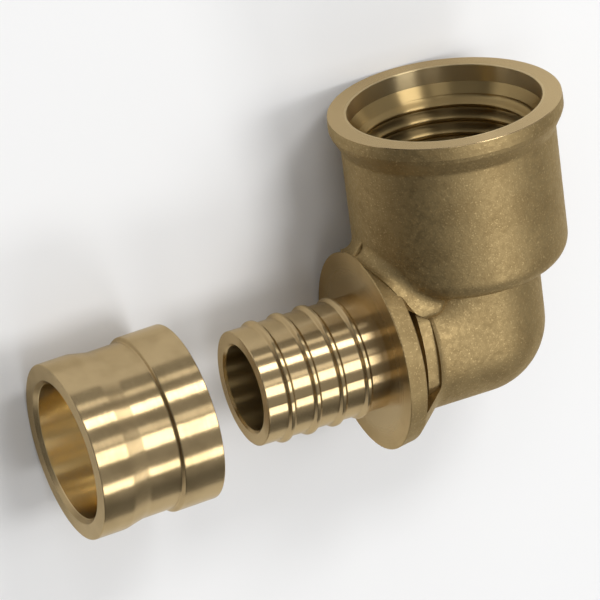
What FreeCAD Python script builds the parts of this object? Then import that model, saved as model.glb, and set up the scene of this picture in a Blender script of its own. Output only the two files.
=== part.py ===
import FreeCAD, Part
import math
import os

# Elbow that joins a plastic water pipe to a threaded pipe, with its loose sliding sleeve.
# Millimetres. The elbow is made with its corner at the origin, the socket's axis along +Y and
# the spigot's axis along -X. It then lies on its side as it comes to rest, with the bead at the
# socket's mouth and the flange on the ground. The spigot stays level, and the sleeve lies in
# front of it.

Vector = FreeCAD.Vector

# Socket, measured from the corner
socket_height = 27.3
bead_radius = 13.6
bead_edge = 0.06
bead_draft = 0.07
bead_shoulder = 0.8
bead_band = 0.75
bead_depth = 2.1
bead_taper = 0.19
bead_slope = 1.75
bead_low_edge = 1.2
bead_cove = 1.0
barrel_radius = 12.45
barrel_end = 7.1
barrel_round = 2.9

# Inside the socket
recess_radius = 11.3
recess_depth = 2.05
recess_edge = 0.06
lead_in = 1.2
thread_radius = 10.48
thread_length = 12.6
drill_half_angle = 59.0

# Corner and waterway
neck_radius = 8.75
neck_bend_spare = 0.05
neck_bend = neck_radius + neck_bend_spare
passage_radius = 6.2
passage_past_corner = 2.5
bore_radius = 5.1
bore_past_corner = 3.0
bore_edge = 0.3

# Flange, and the pocket on each side behind it that the pressing tool hooks into
flange_front = 13.8
flange_radius = 11.9
flange_thickness = 2.3
flange_edge = 0.1
flange_draft = 0.35
flange_back_edge = 0.5
cone_reach = 3.4
cone_cove = 1.6
pocket_half_width = 8.5
pocket_curve = 12.0
pocket_width = 3.13
pocket_top = 7.6
pocket_top_slant = 2.6
pocket_bottom = 4.9
pocket_bottom_slant = 1.6
pocket_corner = 0.7
groove_radius = 7.5
groove_width = 1.65

# Spigot and its ridges
spigot_length = 15.55
spigot_radius = 6.85
spigot_edge = 0.12
ridge_count = 4
ridge_radius = 7.27
ridge_width = 0.4
ridge_flank = 0.3
ridge_round = 0.18
ridge_pitch = 3.25
first_ridge = 2.95

# Web between the flange and the barrel, with the thin ridge that the forging dies leave
web_radius = 12.05
web_reach = 13.95
web_end = 6.0
web_low = 5.2
web_half_width = 8.4
web_shoulder = 6.0
web_foot = 1.2
web_end_round = 1.6
web_cove = 1.4
ridge_line_width = 0.4

# Sliding sleeve
sleeve_length = 15.2
sleeve_radius = 10.5
sleeve_bore = 8.1
sleeve_edge = 0.15
sleeve_bevel = 0.5
waist_radius = 10.0
waist_start = 3.8
waist_slope = 2.3
waist_round = 1.5
waist_end = 9.95
waist_step = 0.25
waist_corner = 0.2

# Where the sleeve lies
sleeve_gap = 6.95
sleeve_offset = 1.1
sleeve_turn = 1.7

X_AXIS = Vector(1, 0, 0)
Y_AXIS = Vector(0, 1, 0)
Z_AXIS = Vector(0, 0, 1)
CORNER = Vector(0, 0, 0)
SPIGOT_WAY = Vector(-1, 0, 0)

# How far a cutting shape runs past the face that it opens
OVERRUN = 1.0
# How close a point lies to a surface that it is on
NEAR = 0.01
TOUCHING = 0.001
# How far a shape stays inside the smooth faces that it would otherwise only graze
SUNK = 0.02
# The points at which an edge is tested, and the largest share of a side that a corner's
# rounding takes up
EDGE_SAMPLES = 7
ROUNDING_SHARE = 0.98


def corner_arc(before, corner, after, radius):
    """Give the start, middle and end of the arc that rounds a corner of an outline."""
    to_before = (before - corner).normalize()
    to_after = (after - corner).normalize()
    half = to_before.getAngle(to_after) / 2
    run = radius / math.tan(half)
    room = ROUNDING_SHARE * min((before - corner).Length, (after - corner).Length)
    if run > room:
        run = room
        radius = run * math.tan(half)
    middle_way = (to_before + to_after).normalize()
    centre = corner + middle_way * (radius / math.sin(half))
    return corner + to_before * run, centre - middle_way * radius, corner + to_after * run


def rounded_face(points, rounds):
    """Make a flat face from the corners of its outline and the radius at each corner."""
    arcs = []
    for i, point in enumerate(points):
        if rounds[i] > 0:
            after = points[(i + 1) % len(points)]
            arcs.append(corner_arc(points[i - 1], point, after, rounds[i]))
        else:
            arcs.append((point, point, point))
    edges = []
    for i, (start, middle, end) in enumerate(arcs):
        if rounds[i] > 0:
            edges.append(Part.Arc(start, middle, end).toShape())
        next_start = arcs[(i + 1) % len(arcs)][0]
        edges.append(Part.LineSegment(end, next_start).toShape())
    return Part.Face(Part.Wire(edges))


def lathe(outline, way):
    """Turn a closed outline about a line through the corner of the elbow.

    Each point is its radius, its distance along the line and, if it is rounded, the radius.
    """
    points = [Z_AXIS * point[0] + way * point[1] for point in outline]
    rounds = [point[2] if len(point) > 2 else 0 for point in outline]
    return rounded_face(points, rounds).revolve(CORNER, way, 360)


def from_line(point, way):
    """Give the distance of a point from a line through the corner of the elbow."""
    return point.cross(way).Length


def meeting_edges(shape, tests):
    """Pick the edges of a shape whose points all pass the tests."""
    picked = []
    for edge in shape.Edges:
        if edge.Degenerated:
            continue
        points = edge.discretize(EDGE_SAMPLES)
        if all(test(point) for test in tests for point in points):
            picked.append(edge)
    return picked


def socket_outside():
    """The barrel with its rounded underside, and the bead at its mouth."""
    bead_low = socket_height - bead_depth
    band_top = socket_height - bead_shoulder
    return lathe([
        (0, barrel_end),
        (barrel_radius, barrel_end, barrel_round),
        (barrel_radius, bead_low - bead_slope, bead_cove),
        (bead_radius - bead_taper, bead_low, bead_low_edge),
        (bead_radius, band_top - bead_band),
        (bead_radius, band_top),
        (bead_radius - bead_draft, socket_height, bead_edge),
        (0, socket_height),
    ], Y_AXIS)


def neck_outside():
    """The two short tubes that meet in a ball at the corner and in a bend inside it."""
    ball = Part.makeSphere(neck_radius, CORNER)
    upright = Part.makeCylinder(neck_radius, barrel_end + barrel_round, CORNER, Y_AXIS)
    level = Part.makeCylinder(neck_radius, flange_front - flange_thickness, CORNER, SPIGOT_WAY)
    radius = neck_radius - SUNK
    start = SPIGOT_WAY * neck_bend
    end = Y_AXIS * neck_bend
    disc = Part.Face(Part.Wire(Part.makeCircle(radius, start, X_AXIS)))
    bend = disc.revolve(start + end, Z_AXIS, 90)
    below = Z_AXIS * -radius
    middle = (start + end) * (1 - math.sqrt(0.5)) + below
    filling = Part.Face(Part.Wire([
        Part.Arc(start + below, middle, end + below).toShape(),
        Part.LineSegment(end + below, below).toShape(),
        Part.LineSegment(below, start + below).toShape(),
    ])).extrude(Z_AXIS * 2 * radius)
    return ball.fuse([upright, level]).removeSplitter().fuse([bend, filling])


def flange_outside():
    """The round collar that the sleeve is pressed against, with its sloping back."""
    back = flange_front - flange_thickness
    foot = back - cone_reach
    return lathe([
        (0, foot - cone_cove),
        (neck_radius, foot - cone_cove),
        (neck_radius, foot, cone_cove),
        (flange_radius - flange_draft, back, flange_back_edge),
        (flange_radius, flange_front, flange_edge),
        (0, flange_front),
    ], SPIGOT_WAY)


def corner_web():
    """The block that fills the angle between the flange, the barrel and the neck."""
    length = web_reach + web_cove - web_end
    band = Part.makeCylinder(web_radius, length, SPIGOT_WAY * web_end, SPIGOT_WAY)
    low_corner = Vector(-web_end - length, web_low, -web_half_width)
    slab = Part.makeBox(length, web_radius, 2 * web_half_width, low_corner)
    block = band.common(slab)
    at_side = lambda point: abs(abs(point.z) - web_half_width) < NEAR
    at_crown = lambda point: from_line(point, X_AXIS) > web_radius - NEAR
    at_foot = lambda point: point.y < web_low + NEAR
    at_end = lambda point: point.x > -web_end - NEAR
    block = block.makeFillet(web_shoulder, meeting_edges(block, [at_side, at_crown]))
    block = block.makeFillet(web_foot, meeting_edges(block, [at_side, at_foot]))
    return block.makeFillet(web_end_round, meeting_edges(block, [at_end]))


def barrel_and_web():
    """The barrel with the web run into it, trimmed to the flange's front and the web's reach."""
    barrel = socket_outside()
    web = corner_web()
    joined = barrel.fuse(web).removeSplitter()
    on_web = lambda point: web.distToShape(Part.Vertex(point))[0] < TOUCHING
    on_barrel = lambda point: barrel.distToShape(Part.Vertex(point))[0] < TOUCHING
    joint = [edge for edge in meeting_edges(joined, [on_web, on_barrel]) if not edge.Closed]
    joined = joined.makeFillet(web_cove, joint)
    reach = Part.makeCylinder(web_reach, socket_height + web_reach, CORNER, Y_AXIS)
    low_corner = Vector(-flange_front, 0, -web_reach)
    front = Part.makeBox(2 * web_reach + flange_front, socket_height, 2 * web_reach, low_corner)
    return joined.common(reach).common(front)


def parting_ridge():
    """The thin ridge between the barrel and the top of the flange."""
    middle = ridge_line_width / 2
    points = [
        Vector(-neck_radius, neck_radius, -middle),
        Vector(-neck_radius, web_radius + web_cove, -middle),
        Vector(-barrel_radius, web_radius + web_cove, -middle),
        Vector(-flange_front, flange_radius, -middle),
        Vector(-flange_front, neck_radius, -middle),
    ]
    return rounded_face(points, [0, 0, 0, 0, 0]).extrude(Z_AXIS * ridge_line_width)


def side_pockets():
    """The two pockets behind the flange, cut from the sides to a core with gently curved sides.

    Beside the flange a groove goes deeper than the core.
    """
    front = flange_thickness - flange_front
    back = front + pocket_width
    deep = 2 * web_reach
    points = [
        Vector(front, pocket_top, -deep),
        Vector(back, pocket_top - pocket_top_slant, -deep),
        Vector(back, pocket_bottom_slant - pocket_bottom, -deep),
        Vector(front, -pocket_bottom, -deep),
    ]
    block = rounded_face(points, [0, pocket_corner, pocket_corner, 0]).extrude(Z_AXIS * 2 * deep)
    width = pocket_width - groove_width
    centre = pocket_curve - pocket_half_width
    one_side = Part.makeCylinder(pocket_curve, width, Vector(back, 0, -centre), SPIGOT_WAY)
    other_side = Part.makeCylinder(pocket_curve, width, Vector(back, 0, centre), SPIGOT_WAY)
    core = one_side.common(other_side)
    groove = Part.makeCylinder(groove_radius, 2 * pocket_width, Vector(back, 0, 0), SPIGOT_WAY)
    return block.cut([core, groove])


def spigot_outside():
    """The barbed end that the pipe is pushed onto, with its rings."""
    tip = flange_front + spigot_length
    outline = [(0, flange_front - flange_thickness / 2)]
    outline.append((spigot_radius, flange_front - flange_thickness / 2))
    for ring in reversed(range(ridge_count)):
        middle = tip - first_ridge - ring * ridge_pitch
        foot = ridge_width / 2 + ridge_flank
        outline.append((spigot_radius, middle - foot, ridge_round))
        outline.append((ridge_radius, middle - ridge_width / 2, ridge_round))
        outline.append((ridge_radius, middle + ridge_width / 2, ridge_round))
        outline.append((spigot_radius, middle + foot, ridge_round))
    outline.append((spigot_radius, tip, spigot_edge))
    outline.append((0, tip))
    return lathe(outline, SPIGOT_WAY)


def socket_inside():
    """The recess, the threaded length and the drilled passage down to the corner."""
    slope = math.tan(math.radians(drill_half_angle))
    recess_floor = socket_height - recess_depth
    thread_top = recess_floor - lead_in
    thread_floor = thread_top - thread_length
    step = (thread_radius - passage_radius) / slope
    above = socket_height + OVERRUN
    return lathe([
        (0, -passage_past_corner - passage_radius / slope),
        (passage_radius, -passage_past_corner),
        (passage_radius, thread_floor - step),
        (thread_radius, thread_floor),
        (thread_radius, thread_top),
        (recess_radius, recess_floor),
        (recess_radius, socket_height - recess_edge),
        (recess_radius + recess_edge, socket_height),
        (recess_radius + recess_edge, above),
        (0, above),
    ], Y_AXIS)


def spigot_inside():
    """The drilled bore of the spigot, with the edge of its mouth broken."""
    slope = math.tan(math.radians(drill_half_angle))
    tip = flange_front + spigot_length
    beyond = tip + OVERRUN
    return lathe([
        (0, -bore_past_corner - bore_radius / slope),
        (bore_radius, -bore_past_corner),
        (bore_radius, tip - bore_edge),
        (bore_radius + bore_edge, tip),
        (bore_radius + bore_edge, beyond),
        (0, beyond),
    ], SPIGOT_WAY)


def elbow_body():
    """The whole elbow, one forged and machined piece."""
    outside = barrel_and_web().fuse([
        neck_outside(),
        flange_outside(),
        parting_ridge(),
        spigot_outside(),
    ])
    outside = outside.removeSplitter().cut(side_pockets())
    return outside.cut([socket_inside(), spigot_inside()])


def sliding_sleeve():
    """The turned ring, before it is laid down."""
    return lathe([
        (sleeve_bore, sleeve_bevel),
        (sleeve_bore + sleeve_bevel, 0),
        (sleeve_radius, 0, sleeve_edge),
        (sleeve_radius, sleeve_length - waist_end - waist_step, waist_corner),
        (waist_radius, sleeve_length - waist_end, waist_corner),
        (waist_radius, sleeve_length - waist_start - waist_slope, waist_round),
        (sleeve_radius, sleeve_length - waist_start, waist_round),
        (sleeve_radius, sleeve_length, sleeve_edge),
        (sleeve_bore + sleeve_bevel, sleeve_length),
        (sleeve_bore, sleeve_length - sleeve_bevel),
    ], SPIGOT_WAY)


def resting_lean():
    """The angle between the ground and the socket's axis when bead and flange both touch it."""
    band_low = socket_height - bead_shoulder - bead_band
    bead_at = math.hypot(bead_radius, band_low)
    return math.acos(flange_radius / bead_at) - math.atan2(band_low, bead_radius)


def lay_down(body, ring):
    """Lay the elbow on its side, and the sleeve on the same ground, nearly in line with it."""
    body.rotate(CORNER, X_AXIS, math.degrees(resting_lean()))
    ground = body.optimalBoundingBox(False, False).ZMin
    ring.rotate(CORNER, Z_AXIS, sleeve_turn)
    near_end = -(flange_front + spigot_length + sleeve_gap)
    ring.translate(Vector(near_end, -sleeve_offset, ground + sleeve_radius))


def stand_on_origin(pieces):
    """Move all pieces so that the origin is under their middle, at ground level."""
    box = Part.makeCompound(pieces).optimalBoundingBox(False, False)
    shift = Vector(-(box.XMin + box.XMax) / 2, -(box.YMin + box.YMax) / 2, -box.ZMin)
    for piece in pieces:
        piece.translate(shift)
    return shift


nodes = {"elbow_body": elbow_body(), "sliding_sleeve": sliding_sleeve()}
lay_down(nodes["elbow_body"], nodes["sliding_sleeve"])
corner_at = stand_on_origin(list(nodes.values()))
print("lean", round(math.degrees(resting_lean()), 4))
print("corner of the elbow at", [round(value, 4) for value in corner_at])

os.makedirs("parts", exist_ok=True)
for name, shape in nodes.items():
    print(name, shape.isValid(), len(shape.Solids), round(shape.Volume, 1))
    shape.exportStep(os.path.join("parts", name + ".step"))
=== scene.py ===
import math
import bpy
from mathutils import Matrix, Vector


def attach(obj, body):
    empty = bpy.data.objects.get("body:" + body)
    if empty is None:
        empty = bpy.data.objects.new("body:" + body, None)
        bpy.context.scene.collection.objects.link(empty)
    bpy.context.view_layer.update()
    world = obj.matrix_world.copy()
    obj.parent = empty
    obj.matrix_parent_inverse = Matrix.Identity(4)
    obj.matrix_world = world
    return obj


# Brass elbow for plastic water pipe, with its loose sliding sleeve. Metres throughout.
# The elbow's own frame has its corner at the origin, +Y out of the threaded socket and
# -X out of the spigot. ELBOW_PLACE takes it to the row's frame, in which the elbow leans.

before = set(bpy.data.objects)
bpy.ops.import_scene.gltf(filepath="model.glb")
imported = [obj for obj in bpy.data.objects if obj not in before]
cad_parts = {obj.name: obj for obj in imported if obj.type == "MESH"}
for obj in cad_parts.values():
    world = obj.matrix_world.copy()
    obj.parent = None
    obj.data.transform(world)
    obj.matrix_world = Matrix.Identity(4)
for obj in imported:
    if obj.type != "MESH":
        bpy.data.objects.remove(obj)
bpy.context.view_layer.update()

MM = 0.001

# The camera, in the elbow's frame
CAMERA_EYE = Vector((-244.745, 267.488, 541.837)) * MM
CAMERA_RIGHT = Vector((0.895999, -0.120109, 0.427504))
CAMERA_UP = Vector((0.274212, 0.906895, -0.319919))
CAMERA_ANGLE = math.radians(6.1361)

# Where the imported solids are
CORNER = Vector((19.1002, -8.0376, 11.9)) * MM
LEAN = math.radians(3.7214)
ELBOW_PLACE = Matrix.Translation(CORNER) @ Matrix.Rotation(LEAN, 4, "X")
SLEEVE_NEAR_END = Vector((-17.1998, -9.1376, 10.5)) * MM
SLEEVE_TURN = math.radians(1.7)

# Where the finish of the elbow and the sleeve changes, and over how far
SOFT_EDGE = 0.05 * MM
RIM_FACE = 27.22 * MM
SOCKET_WALL = 11.6 * MM
SOCKET_FLOOR = 9.0 * MM
PASSAGE_WALL = 6.8 * MM
PASSAGE_END = -4.0 * MM
FLANGE_FACE = -13.72 * MM
FLANGE_DULL = (8.6 * MM, 11.0 * MM)
WATERWAY_WALL = 5.15 * MM
WATERWAY_END = 4.0 * MM
SLEEVE_WALL = 8.15 * MM
# Below this height the cut brass inside is painted darker as painted shade
LEAD_IN_TOP = 25.25 * MM

# Female half-inch pipe thread
THREAD_TOP = 24.05 * MM
THREAD_BOTTOM = 11.45 * MM
THREAD_ROOT = 10.465 * MM
THREAD_CREST = 9.32 * MM
THREAD_PITCH = 1.814 * MM
THREAD_BACK = 10.6 * MM
THREAD_START = 0.115
THREAD_RUN_IN = 0.9 * MM
THREAD_COLUMNS = 180
THREAD_ROWS = 112
THREAD_SHARP = math.radians(50)

# Numbers of the inputs and the output of a Mix node for each kind of value
MIX_SOCKETS = {"FLOAT": (2, 3, 0), "VECTOR": (4, 5, 1), "RGBA": (6, 7, 2)}

# Soft lights that lie along X: name, angle about the X axis, the angle it covers, radiance,
# how far it leans towards +X in degrees, and length
SOFTBOXES = [
    ("softbox_low", 20.5, 8, 1.7, 18, 0.26),
    ("softbox_side", 44.3, 12, 8.2, 18, 0.26),
    ("softbox_side_end", 44.3, 12, 1.4, -12, 0.22),
    ("softbox_top_soft", 73.0, 9, 1.9, 18, 0.26),
    ("softbox_top", 89.5, 17, 6.2, 18, 0.26),
    ("softbox_top_end", 89.5, 17, 1.4, -12, 0.22),
    ("softbox_far", 130.0, 11.5, 5.2, 18, 0.26),
    ("softbox_far_end", 130.0, 11.5, 1.4, -12, 0.22),
]
SOFTBOX_DISTANCE = 0.7

# The dim room around them
WALL_DARK = 0.02
WALL_LIGHT = 0.3
CEILING_LIGHT = 0.25
OVERHEAD = (0.1, 0.25, 0.93)

# Colours of the brass, and of the floor
FORGED = (0.33, 0.24, 0.112)
# Bright grain specks, partly painted glints
FORGED_SPECK_AND_GLINT = (0.52, 0.385, 0.19)
FORGED_STAIN = (0.29, 0.207, 0.094)
TURNED = (0.47, 0.335, 0.16)
TURNED_DULL = (0.42, 0.295, 0.136)
POLISHED = (0.47, 0.35, 0.187)
POLISHED_DULL = (0.4, 0.295, 0.153)
# Brighter brass of the sleeve's bore, partly a painted lift of light
CUT_INSIDE_PAINTED_LIGHT = (0.74, 0.59, 0.32)
# Paler brass of the socket recess, partly a painted lift of light
CUT_SOCKET_PAINTED_LIGHT = (0.52, 0.41, 0.23)
# Darker brass below the lead-in: painted shade deep in the socket thread and the waterway
CUT_DEEP_PAINTED_SHADE = (0.34, 0.245, 0.11)
EDGE_TINT = (0.93, 0.86, 0.72)
FLOOR = (0.9, 0.9, 0.9)

# Grain of the brass: how many to a millimetre, how deep, and how rough between fine and coarse
GRAIN_PER_MM = 4.5
PITS_PER_MM = 1.6
STAIN_PER_MM = 0.28
CLOUD_PER_MM = 0.3
ELBOW_LINES_PER_MM = 7.0
SLEEVE_LINES_PER_MM = 6.0
LINES_DETAIL = 3.0
GRAIN_DEPTH = 0.018 * MM
PITS_DEPTH = 0.034 * MM
CLOUD_DEPTH = 0.02 * MM
LINES_DEPTH = 0.0005 * MM
NOISE_SPAN = (0.3, 0.7)
FORGED_ROUGH = (0.46, 0.6)
POLISHED_ROUGH = (0.24, 0.27)
TURNED_ROUGH = (0.28, 0.36)
# How far the turning marks spread the shine across themselves, which is a quarter turn from them
MARKS_SPREAD = 0.98
QUARTER_TURN = 0.25


def add_camera():
    """The camera at the photograph's viewing angle."""
    back = CAMERA_RIGHT.cross(CAMERA_UP)
    turned = Matrix((CAMERA_RIGHT, CAMERA_UP, back)).transposed().to_4x4()
    data = bpy.data.cameras.new("camera")
    data.angle = CAMERA_ANGLE
    data.clip_start = 0.01
    data.clip_end = 20.0
    camera = bpy.data.objects.new("camera", data)
    camera.matrix_world = ELBOW_PLACE @ Matrix.Translation(CAMERA_EYE) @ turned
    bpy.context.scene.collection.objects.link(camera)
    bpy.context.scene.camera = camera


def add_softbox(name, around, width, radiance, slant, length):
    """A soft light that lies along X. around goes from +Y towards +Z."""
    angle = math.radians(around)
    across = math.cos(math.radians(slant))
    way = Vector((math.sin(math.radians(slant)), across * math.cos(angle), across * math.sin(angle)))
    along = (Vector((1, 0, 0)) - way * way.x).normalized()
    data = bpy.data.lights.new(name, "AREA")
    data.shape = "RECTANGLE"
    data.size = length
    data.size_y = 2 * SOFTBOX_DISTANCE * across * math.tan(math.radians(width / 2))
    data.energy = 4 * radiance * data.size * data.size_y
    light = bpy.data.objects.new(name, data)
    turned = Matrix((along, way.cross(along), way)).transposed().to_4x4()
    light.matrix_world = Matrix.Translation(way * SOFTBOX_DISTANCE) @ turned
    bpy.context.scene.collection.objects.link(light)


def feed(tree, socket, value):
    """Link a socket to the output of another node, or set its value."""
    if isinstance(value, bpy.types.NodeSocket):
        tree.links.new(value, socket)
    else:
        socket.default_value = value


def compute(tree, operation, *values):
    step = tree.nodes.new("ShaderNodeMath")
    step.operation = operation
    for socket, value in zip(step.inputs, values):
        feed(tree, socket, value)
    return step.outputs[0]


def compute_vector(tree, operation, output, *values):
    step = tree.nodes.new("ShaderNodeVectorMath")
    step.operation = operation
    for socket, value in zip(step.inputs, values):
        feed(tree, socket, value)
    return step.outputs[output]


def ramp(tree, value, start, end, low=0.0, high=1.0):
    """Go smoothly from low, where value is start, to high, where it is end."""
    step = tree.nodes.new("ShaderNodeMapRange")
    step.interpolation_type = "SMOOTHSTEP"
    feed(tree, step.inputs["Value"], value)
    feed(tree, step.inputs["From Min"], start)
    feed(tree, step.inputs["From Max"], end)
    feed(tree, step.inputs["To Min"], low)
    feed(tree, step.inputs["To Max"], high)
    return step.outputs["Result"]


def mix(tree, kind, share, first, second):
    """Mix two numbers, vectors or colours by a share from 0 to 1."""
    step = tree.nodes.new("ShaderNodeMix")
    step.data_type = kind
    place_first, place_second, place_result = MIX_SOCKETS[kind]
    feed(tree, step.inputs["Factor"], share)
    feed(tree, step.inputs[place_first], first)
    feed(tree, step.inputs[place_second], second)
    return step.outputs[place_result]


def colour(shade):
    return (*shade, 1.0)


def noise(tree, place, per_mm, detail):
    step = tree.nodes.new("ShaderNodeTexNoise")
    feed(tree, step.inputs["Vector"], place)
    step.inputs["Scale"].default_value = per_mm / MM
    step.inputs["Detail"].default_value = detail
    return step.outputs["Fac"]


def lines(tree, distance, per_mm):
    """Fine turning lines that change along one distance."""
    step = tree.nodes.new("ShaderNodeTexNoise")
    step.noise_dimensions = "1D"
    feed(tree, step.inputs["W"], distance)
    step.inputs["Scale"].default_value = per_mm / MM
    step.inputs["Detail"].default_value = LINES_DETAIL
    return step.outputs["Fac"]


def bump(tree, height, depth, before=None):
    step = tree.nodes.new("ShaderNodeBump")
    step.inputs["Distance"].default_value = depth
    feed(tree, step.inputs["Height"], height)
    if before is not None:
        feed(tree, step.inputs["Normal"], before)
    return step.outputs["Normal"]


def part_place(tree, corner, turn):
    """The place on a part in the part's own frame, and its X, Y and Z by name."""
    place = tree.nodes.new("ShaderNodeTexCoord")
    mapping = tree.nodes.new("ShaderNodeMapping")
    mapping.vector_type = "TEXTURE"
    mapping.inputs["Location"].default_value = corner
    mapping.inputs["Rotation"].default_value = turn
    tree.links.new(place.outputs["Object"], mapping.inputs["Vector"])
    own = mapping.outputs["Vector"]
    split = tree.nodes.new("ShaderNodeSeparateXYZ")
    tree.links.new(own, split.inputs[0])
    return own, split.outputs


def from_axis(tree, own, across):
    """The distance from an axis: across has 1 for the two ways that lead away from it."""
    flat = compute_vector(tree, "MULTIPLY", "Vector", own, across)
    return compute_vector(tree, "LENGTH", "Value", flat)


def round_axis(tree, point, axis):
    """The way that the turning marks run round an axis, as a tangent for the shader."""
    place = tree.nodes.new("ShaderNodeNewGeometry")
    away = compute_vector(tree, "SUBTRACT", "Vector", place.outputs["Position"], point)
    return compute_vector(tree, "CROSS_PRODUCT", "Vector", away, axis)


def new_material(name):
    material = bpy.data.materials.new(name)
    material.use_nodes = True
    shader = material.node_tree.nodes["Principled BSDF"]
    shader.inputs["Metallic"].default_value = 1.0
    shader.inputs["Specular Tint"].default_value = colour(EDGE_TINT)
    shader.inputs["Anisotropic Rotation"].default_value = QUARTER_TURN
    return material, material.node_tree, shader


def elbow_brass():
    """Blasted forging outside; turned spigot, flange face and rim; duller cut inside, painted paler in
    the socket recess as painted light and darker deeper in as painted shade.
    """
    material, tree, shader = new_material("forged_brass")
    own, split = part_place(tree, CORNER, (LEAN, 0, 0))
    x = split["X"]
    y = split["Y"]
    from_socket = from_axis(tree, own, (1, 0, 1))
    from_spigot = from_axis(tree, own, (0, 1, 1))

    # Where it is machined
    wall = ramp(tree, y, SOCKET_FLOOR - SOFT_EDGE, SOCKET_FLOOR, PASSAGE_WALL, SOCKET_WALL)
    in_socket = compute(tree, "MULTIPLY", compute(tree, "LESS_THAN", from_socket, wall),
                        compute(tree, "GREATER_THAN", y, PASSAGE_END))
    in_spigot = compute(tree, "MULTIPLY", compute(tree, "LESS_THAN", from_spigot, WATERWAY_WALL),
                        compute(tree, "LESS_THAN", x, WATERWAY_END))
    inside = compute(tree, "MAXIMUM", in_socket, in_spigot)
    on_rim = ramp(tree, y, RIM_FACE - SOFT_EDGE, RIM_FACE)
    on_front = ramp(tree, x, FLANGE_FACE, FLANGE_FACE - SOFT_EDGE)
    turned = compute(tree, "MAXIMUM", compute(tree, "MAXIMUM", on_rim, on_front), inside)
    about_socket = compute(tree, "MAXIMUM", on_rim, in_socket)
    flange_face = compute(tree, "MULTIPLY", ramp(tree, from_spigot, *FLANGE_DULL), on_front)
    dull = compute(tree, "MAXIMUM", flange_face, inside)

    # Blasted skin: fine grain with bright specks, which are partly painted glints, and broad stains
    grain = noise(tree, own, GRAIN_PER_MM, 3.0)
    pits = noise(tree, own, PITS_PER_MM, 2.0)
    stain = noise(tree, own, STAIN_PER_MM, 4.0)
    stained = ramp(tree, stain, 0.42, 0.68)
    skin = mix(tree, "RGBA", stained, colour(FORGED), colour(FORGED_STAIN))
    skin = mix(tree, "RGBA", ramp(tree, grain, 0.56, 0.74), skin, colour(FORGED_SPECK_AND_GLINT))
    skin_rough = ramp(tree, pits, *NOISE_SPAN, *FORGED_ROUGH)
    skin_bump = bump(tree, grain, GRAIN_DEPTH, bump(tree, pits, PITS_DEPTH))

    # Turned metal: lines that run round each axis, and a shine that spreads across them
    socket_lines = lines(tree, compute(tree, "ADD", y, from_socket), ELBOW_LINES_PER_MM)
    spigot_lines = lines(tree, compute(tree, "ADD", x, from_spigot), ELBOW_LINES_PER_MM)
    rings = mix(tree, "FLOAT", about_socket, spigot_lines, socket_lines)
    face = mix(tree, "RGBA", stained, colour(TURNED), colour(TURNED_DULL))
    # Inside, the cut brass is painted darker below the lead-in as painted shade, and paler above it as
    # a painted lift of light
    below_recess = compute(tree, "LESS_THAN", y, LEAD_IN_TOP)
    cut = mix(tree, "RGBA", below_recess, colour(CUT_SOCKET_PAINTED_LIGHT), colour(CUT_DEEP_PAINTED_SHADE))
    metal = mix(tree, "RGBA", dull, colour(POLISHED), mix(tree, "RGBA", inside, face, cut))
    metal_rough = mix(tree, "FLOAT", dull, ramp(tree, rings, *NOISE_SPAN, *POLISHED_ROUGH),
                      ramp(tree, rings, *NOISE_SPAN, *TURNED_ROUGH))
    metal_bump = bump(tree, rings, LINES_DEPTH)
    marks = mix(tree, "VECTOR", about_socket, round_axis(tree, CORNER, (1, 0, 0)),
                round_axis(tree, CORNER, (0, math.cos(LEAN), math.sin(LEAN))))

    feed(tree, shader.inputs["Base Color"], mix(tree, "RGBA", turned, skin, metal))
    feed(tree, shader.inputs["Roughness"], mix(tree, "FLOAT", turned, skin_rough, metal_rough))
    feed(tree, shader.inputs["Normal"], mix(tree, "VECTOR", turned, skin_bump, metal_bump))
    feed(tree, shader.inputs["Tangent"], marks)
    feed(tree, shader.inputs["Anisotropic"], compute(tree, "MULTIPLY", turned, MARKS_SPREAD))
    return material


def sleeve_brass():
    """Turned all over, with fine lines round the sleeve's axis and a bore painted brighter, a painted
    lift of light.
    """
    material, tree, shader = new_material("turned_brass")
    own, split = part_place(tree, SLEEVE_NEAR_END, (0, 0, SLEEVE_TURN))
    away = from_axis(tree, own, (0, 1, 1))
    inside = compute(tree, "LESS_THAN", away, SLEEVE_WALL)
    rings = lines(tree, compute(tree, "ADD", split["X"], away), SLEEVE_LINES_PER_MM)
    cloud = noise(tree, own, CLOUD_PER_MM, 4.0)
    outside = mix(tree, "RGBA", ramp(tree, cloud, 0.4, 0.7), colour(POLISHED), colour(POLISHED_DULL))
    marks = round_axis(tree, SLEEVE_NEAR_END, (math.cos(SLEEVE_TURN), math.sin(SLEEVE_TURN), 0))
    # The bore gets the brighter colour, a painted lift of light inside it
    feed(tree, shader.inputs["Base Color"], mix(tree, "RGBA", inside, outside, colour(CUT_INSIDE_PAINTED_LIGHT)))
    feed(tree, shader.inputs["Roughness"], ramp(tree, rings, *NOISE_SPAN, *POLISHED_ROUGH))
    feed(tree, shader.inputs["Normal"], bump(tree, rings, LINES_DEPTH, bump(tree, cloud, CLOUD_DEPTH)))
    feed(tree, shader.inputs["Tangent"], marks)
    shader.inputs["Anisotropic"].default_value = MARKS_SPREAD
    return material


def thread_radius(around, height):
    """The radius of the thread's surface at a turn about the socket's axis and a height."""
    turns = THREAD_START + height / THREAD_PITCH - around / (2 * math.pi)
    rise = (THREAD_ROOT - THREAD_CREST) * (1 - math.cos(2 * math.pi * turns)) / 2
    started = min(1.0, (THREAD_TOP - height) / THREAD_RUN_IN)
    return THREAD_ROOT - rise * started


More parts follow.
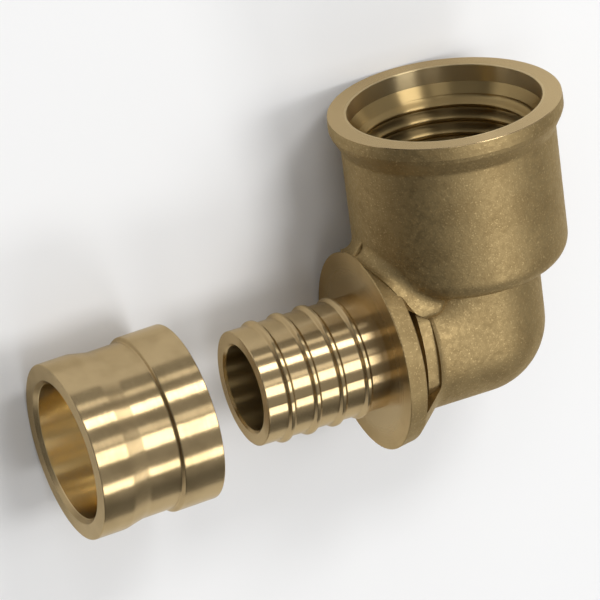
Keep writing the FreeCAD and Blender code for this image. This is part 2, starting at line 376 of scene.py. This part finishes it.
def thread_ridges():
    """The ridges of the female thread: a ring with one helix inside, let into the wall.

    The points go row by row up the thread, and then in two rings up the back.
    """
    vertices = []
    for row in range(THREAD_ROWS + 1):
        height = THREAD_BOTTOM + (THREAD_TOP - THREAD_BOTTOM) * row / THREAD_ROWS
        for column in range(THREAD_COLUMNS):
            around = 2 * math.pi * column / THREAD_COLUMNS
            radius = thread_radius(around, height)
            vertices.append((radius * math.sin(around), height, radius * math.cos(around)))
    for height in (THREAD_BOTTOM, THREAD_TOP):
        for column in range(THREAD_COLUMNS):
            around = 2 * math.pi * column / THREAD_COLUMNS
            vertices.append((THREAD_BACK * math.sin(around), height, THREAD_BACK * math.cos(around)))
    # The rings of points in order round the section: up the thread and down the back
    rings = [row * THREAD_COLUMNS for row in range(THREAD_ROWS + 1)]
    back_low = (THREAD_ROWS + 1) * THREAD_COLUMNS
    rings += [back_low + THREAD_COLUMNS, back_low]
    faces = []
    for i, ring in enumerate(rings):
        after = rings[(i + 1) % len(rings)]
        for column in range(THREAD_COLUMNS):
            beside = (column + 1) % THREAD_COLUMNS
            faces.append((ring + column, after + column, after + beside, ring + beside))
    mesh = bpy.data.meshes.new("socket_thread")
    mesh.from_pydata([ELBOW_PLACE @ Vector(point) for point in vertices], [], faces)
    mesh.shade_smooth()
    mesh.set_sharp_from_angle(angle=THREAD_SHARP)
    thread = bpy.data.objects.new("socket_thread", mesh)
    bpy.context.scene.collection.objects.link(thread)
    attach(thread, "root")
    return thread


def add_world():
    """A dim room that is lighter overhead and darker towards -X, where the elbow's shade is."""
    world = bpy.data.worlds.new("studio")
    bpy.context.scene.world = world
    world.use_nodes = True
    tree = world.node_tree
    way = tree.nodes.new("ShaderNodeTexCoord").outputs["Generated"]
    split = tree.nodes.new("ShaderNodeSeparateXYZ")
    tree.links.new(way, split.inputs[0])
    wall = ramp(tree, split.outputs["X"], -0.9, 0.9, WALL_DARK, WALL_LIGHT)
    overhead = compute_vector(tree, "DOT_PRODUCT", "Value", way, OVERHEAD)
    ceiling = ramp(tree, overhead, 0.12, 0.4, 0.0, CEILING_LIGHT)
    background = tree.nodes["Background"]
    background.inputs["Color"].default_value = (1.0, 1.0, 1.0, 1.0)
    feed(tree, background.inputs["Strength"], compute(tree, "ADD", wall, ceiling))


def add_floor():
    """A pale floor that keeps the object's soft shadow."""
    half = 3.0
    mesh = bpy.data.meshes.new("floor")
    corners = [(-half, -half, 0), (half, -half, 0), (half, half, 0), (-half, half, 0)]
    mesh.from_pydata(corners, [], [(0, 1, 2, 3)])
    floor = bpy.data.objects.new("floor", mesh)
    bpy.context.scene.collection.objects.link(floor)
    material = bpy.data.materials.new("floor")
    material.use_nodes = True
    shader = material.node_tree.nodes["Principled BSDF"]
    shader.inputs["Base Color"].default_value = colour(FLOOR)
    shader.inputs["Roughness"].default_value = 0.9
    mesh.materials.append(material)


add_camera()
for softbox in SOFTBOXES:
    add_softbox(*softbox)
add_world()
add_floor()

brass = {"elbow_body": elbow_brass(), "sliding_sleeve": sleeve_brass()}
for name, material in brass.items():
    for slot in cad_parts[name].material_slots:
        slot.material = material
thread_ridges().data.materials.append(brass["elbow_body"])

bpy.context.scene.view_settings.view_transform = "Standard"
